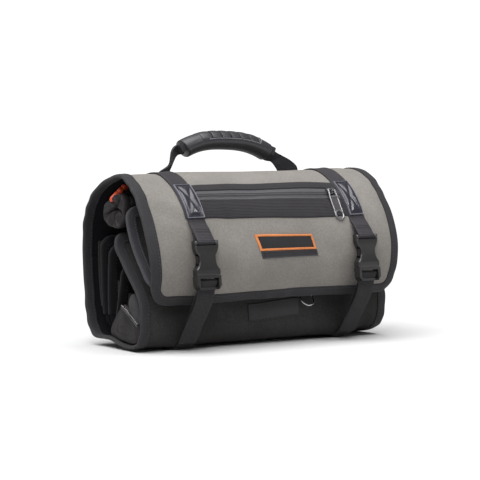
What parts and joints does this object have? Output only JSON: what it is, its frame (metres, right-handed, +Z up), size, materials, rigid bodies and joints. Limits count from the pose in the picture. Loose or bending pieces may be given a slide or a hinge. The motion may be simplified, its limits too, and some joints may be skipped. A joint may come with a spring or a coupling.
{
  "type": "tool roll",
  "caption": "Roll-up tool bag: a stiff canvas wrap round hinged padded pages, a zipped flap held by side-release buckle straps, and a ribbed carrying grip.",
  "frame": {"origin": "middle of the closed roll's footprint, on the ground under the straps", "axes": "+X along the roll towards the end with the zip slider, -Y towards the buckled front, +Z up"},
  "size_m": [0.38, 0.214, 0.277],
  "materials": {
    "canvas": "heavy grey canvas",
    "dark_canvas": "stiff near-black canvas",
    "edging": "woven edging tape",
    "webbing": "ribbed polyester webbing",
    "vinyl": "glossy vinyl-faced cloth",
    "buckle_plastic": "satin moulded acetal",
    "grip_rubber": "satin ribbed rubber",
    "nickel": "nickel plated",
    "zip": "woven zip tape with nylon coil",
    "label_orange": "raised orange border",
    "label_dark": "bare black label cloth",
    "orange_cord": "orange moulded pull"
  },
  "bodies": {
    "base": {"base_panel": "dark_canvas", "base_edging_left": "edging", "base_edging_right": "edging", "base_strap_left": "webbing", "base_strap_right": "webbing", "base_pouch": "dark_canvas", "base_pouch_zip": "zip"},
    "back": {"back_panel": "dark_canvas", "back_edging_left": "edging", "back_edging_right": "edging", "back_strap_left": "webbing", "back_strap_right": "webbing", "back_pocket": "webbing"},
    "cover": {"cover_flap": "canvas", "cover_edging": "edging", "upper_strap_left": "webbing", "upper_strap_right": "webbing", "strap_patch_left": "vinyl", "strap_patch_right": "vinyl", "zip_band_upper": "edging", "zip_tape": "zip", "zip_band_lower": "edging", "label_border": "label_orange", "label_field": "label_dark", "label_strip": "label_dark", "buckle_socket_left": "buckle_plastic", "buckle_socket_right": "buckle_plastic", "handle_foot_left": "webbing", "handle_foot_right": "webbing", "top_pouch": "dark_canvas"},
    "front": {"front_panel": "dark_canvas", "front_edging": "edging", "lower_strap_left": "webbing", "lower_strap_right": "webbing", "buckle_plug_left": "buckle_plastic", "buckle_plug_right": "buckle_plastic", "front_patch": "webbing", "ring_tab": "webbing"},
    "inner_flap": {"inner_flap": "dark_canvas", "inner_flap_edging": "edging", "inner_flap_strip": "webbing"},
    "page_1": {"page_1": "dark_canvas", "page_1_pockets": "webbing"},
    "page_2": {"page_2": "dark_canvas", "page_2_pockets": "webbing"},
    "page_3": {"page_3": "dark_canvas", "page_3_pockets": "webbing"},
    "handle": {"handle_webbing": "webbing", "handle_grip": "grip_rubber"},
    "zip_slider": {"zip_slider": "nickel"},
    "zip_pull": {"zip_pull": "nickel"},
    "base_pouch_slider": {"base_pouch_slider": "nickel"},
    "tool_ring": {"tool_ring": "nickel"},
    "orange_pull": {"orange_pull": "orange_cord"},
    "buckle_arm_left_a": {"buckle_arm_left_a": "buckle_plastic"},
    "buckle_arm_left_b": {"buckle_arm_left_b": "buckle_plastic"},
    "buckle_arm_right_a": {"buckle_arm_right_a": "buckle_plastic"},
    "buckle_arm_right_b": {"buckle_arm_right_b": "buckle_plastic"}
  },
  "joints": [
    {"name": "back_fold", "type": "hinge", "parent": "base", "child": "back", "pos_m": [0, 0.09032, 0.02633], "axis": [-1, 0, 0], "range_deg": [0, 80]},
    {"name": "cover_fold", "type": "hinge", "parent": "back", "child": "cover", "pos_m": [0, 0.08034, 0.19603], "axis": [-1, 0, 0], "range_deg": [0, 70]},
    {"name": "front_fold", "type": "hinge", "parent": "base", "child": "front", "pos_m": [0, -0.04577, 0.00543], "axis": [1, 0, 0], "range_deg": [0, 24.5]},
    {"name": "inner_flap_seam", "type": "hinge", "parent": "cover", "child": "inner_flap", "pos_m": [0, -0.00926, 0.21909], "axis": [1, 0, 0], "range_deg": [0, 10]},
    {"name": "page_1_seam", "type": "hinge", "parent": "base", "child": "page_1", "pos_m": [0, 0.05519, 0.00841], "axis": [-1, 0, 0], "range_deg": [0, 41]},
    {"name": "page_2_seam", "type": "hinge", "parent": "base", "child": "page_2", "pos_m": [0, 0.0467, 0.00737], "axis": [-1, 0, 0], "range_deg": [0, 25]},
    {"name": "page_3_seam", "type": "hinge", "parent": "base", "child": "page_3", "pos_m": [0, 0.0382, 0.00696], "axis": [-1, 0, 0], "range_deg": [0, 9]},
    {"name": "handle_swing", "type": "hinge", "parent": "cover", "child": "handle", "pos_m": [0, 0.05189, 0.21985], "axis": [-1, 0, 0], "range_deg": [-40, 90]},
    {"name": "zip_slide", "type": "slide", "parent": "cover", "child": "zip_slider", "axis": [1, 0, 0], "range_m": [-0.2, 0]},
    {"name": "zip_pull_swing", "type": "hinge", "parent": "zip_slider", "child": "zip_pull", "pos_m": [0.096, -0.05791, 0.19832], "axis": [-1, 0, 0], "range_deg": [0, 140]},
    {"name": "base_pouch_slide", "type": "slide", "parent": "base", "child": "base_pouch_slider", "axis": [1, 0, 0], "range_m": [-0.32, 0]},
    {"name": "tool_ring_swing", "type": "hinge", "parent": "front", "child": "tool_ring", "pos_m": [0.056, -0.05057, 0.06297], "axis": [-1, 0, 0], "range_deg": [-22, 30]},
    {"name": "orange_pull_swing", "type": "hinge", "parent": "cover", "child": "orange_pull", "pos_m": [-0.157, 0.02968, 0.2182], "axis": [0, 1, 0], "range_deg": [-3, 14]},
    {"name": "arm_left_a_press", "type": "hinge", "parent": "front", "child": "buckle_arm_left_a", "pos_m": [-0.1322, -0.09906, 0.09683], "axis": [0, 0.9936, -0.1132], "range_deg": [0, 8], "stiffness_Nm_per_rad": 0.02},
    {"name": "arm_left_b_press", "type": "hinge", "parent": "front", "child": "buckle_arm_left_b", "pos_m": [-0.1148, -0.09906, 0.09683], "axis": [0, -0.9936, 0.1132], "range_deg": [0, 8], "stiffness_Nm_per_rad": 0.02},
    {"name": "arm_right_a_press", "type": "hinge", "parent": "front", "child": "buckle_arm_right_a", "pos_m": [0.1148, -0.09906, 0.09683], "axis": [0, 0.9936, -0.1132], "range_deg": [0, 8], "stiffness_Nm_per_rad": 0.02},
    {"name": "arm_right_b_press", "type": "hinge", "parent": "front", "child": "buckle_arm_right_b", "pos_m": [0.1322, -0.09906, 0.09683], "axis": [0, -0.9936, 0.1132], "range_deg": [0, 8], "stiffness_Nm_per_rad": 0.02}
  ],
  "couplings": [
    {"joint": "cover_fold", "follows": "back_fold", "ratio": 0.86411},
    {"joint": "front_fold", "follows": "back_fold", "ratio": 0.3},
    {"joint": "inner_flap_seam", "follows": "back_fold", "ratio": 0.12},
    {"joint": "page_1_seam", "follows": "back_fold", "ratio": 0.5},
    {"joint": "page_2_seam", "follows": "back_fold", "ratio": 0.3},
    {"joint": "page_3_seam", "follows": "back_fold", "ratio": 0.1},
    {"joint": "arm_left_b_press", "follows": "arm_left_a_press", "ratio": 1},
    {"joint": "arm_right_b_press", "follows": "arm_right_a_press", "ratio": 1}
  ]
}
